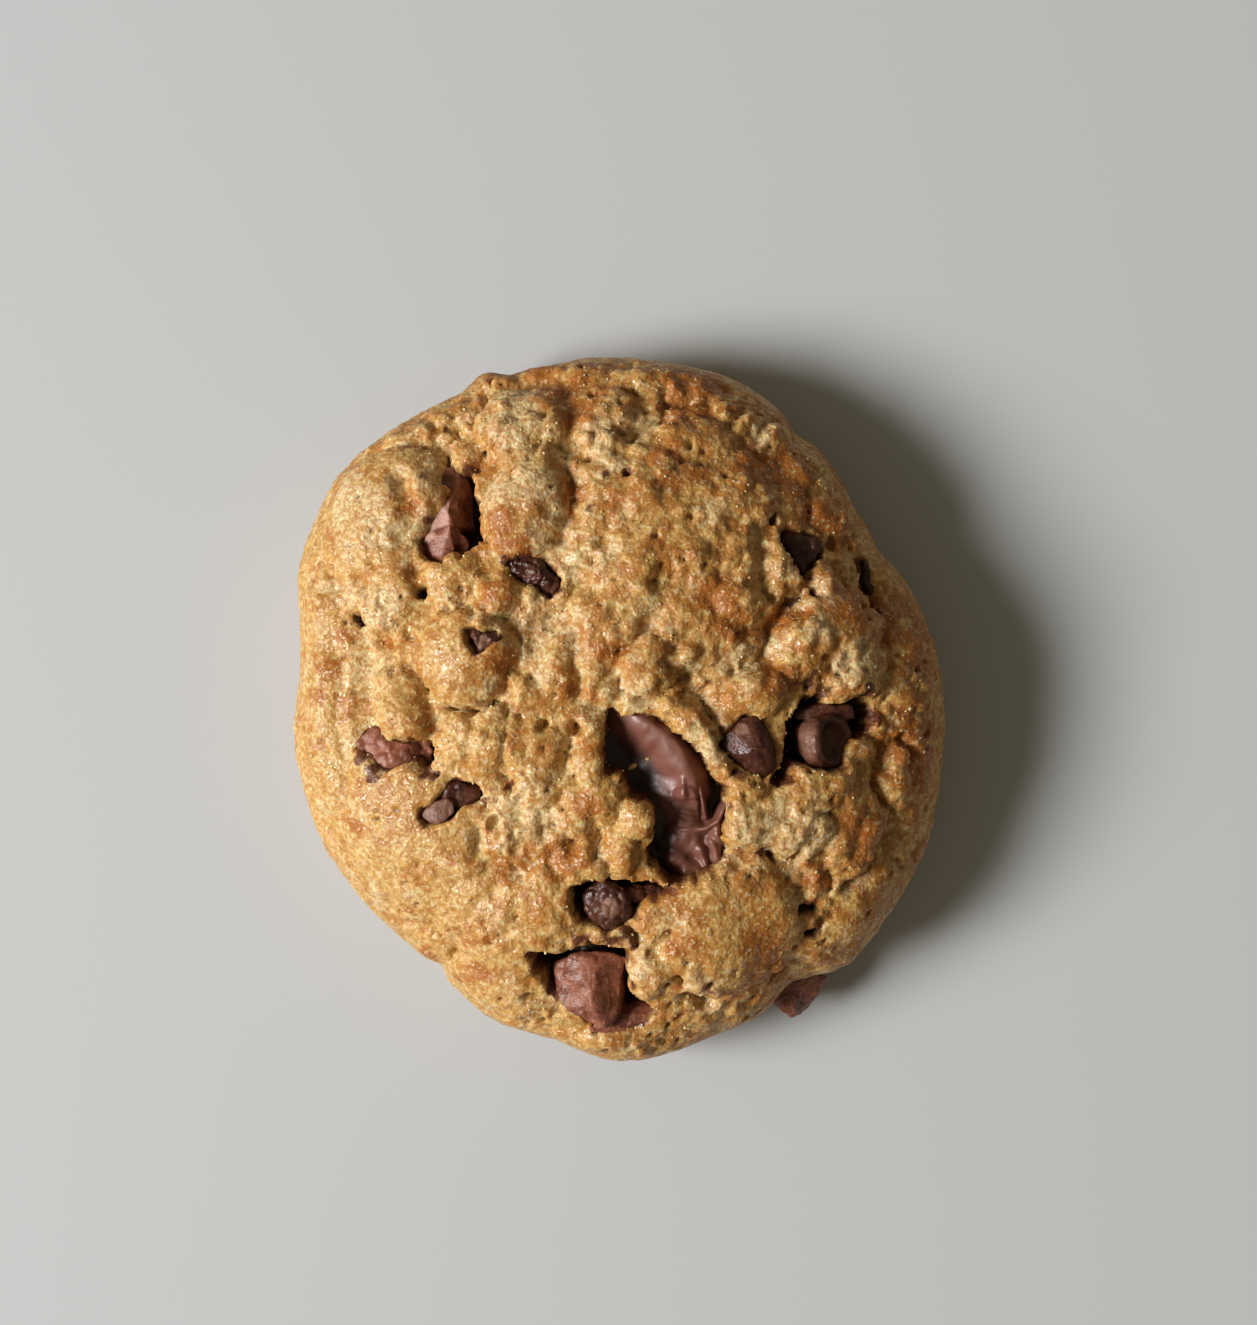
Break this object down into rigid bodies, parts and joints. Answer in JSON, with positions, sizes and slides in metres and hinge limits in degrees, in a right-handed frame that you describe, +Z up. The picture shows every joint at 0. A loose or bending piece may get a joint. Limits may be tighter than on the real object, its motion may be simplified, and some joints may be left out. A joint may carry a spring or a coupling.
{
  "type": "chocolate chunk cookie",
  "caption": "Thick domed drop cookie of golden dough with chocolate chips and broken chunks set in its top and near side; flat underside.",
  "frame": {"origin": "under the middle of the cookie's box, on the surface it stands on", "axes": "+Z up, +Y along the cookie's longer side, towards the rim that lies farthest from the broken chunk at the near end, +X to the right"},
  "size_m": [0.075, 0.081, 0.027],
  "materials": {
    "baked_dough": "matte golden-brown baked dough with a fine crumb",
    "chocolate": "dull dark chocolate with a dusty bloom on its broken faces",
    "molten_chocolate": "glossy melted and set dark chocolate"
  },
  "bodies": {
    "root": {"dough": "baked_dough", "chunk_molten": "molten_chocolate", "chip_teardrop": "chocolate", "chip_right": "chocolate", "chip_bottom": "chocolate", "chip_upper": "chocolate", "chip_centre": "chocolate", "chip_left": "chocolate", "chip_upper_right": "chocolate", "chunk_upper_left": "chocolate", "chunk_left": "chocolate", "chunk_bottom": "chocolate", "chunk_far_right": "chocolate", "chunk_edge": "chocolate", "chip_edge": "chocolate"}
  },
  "joints": []
}
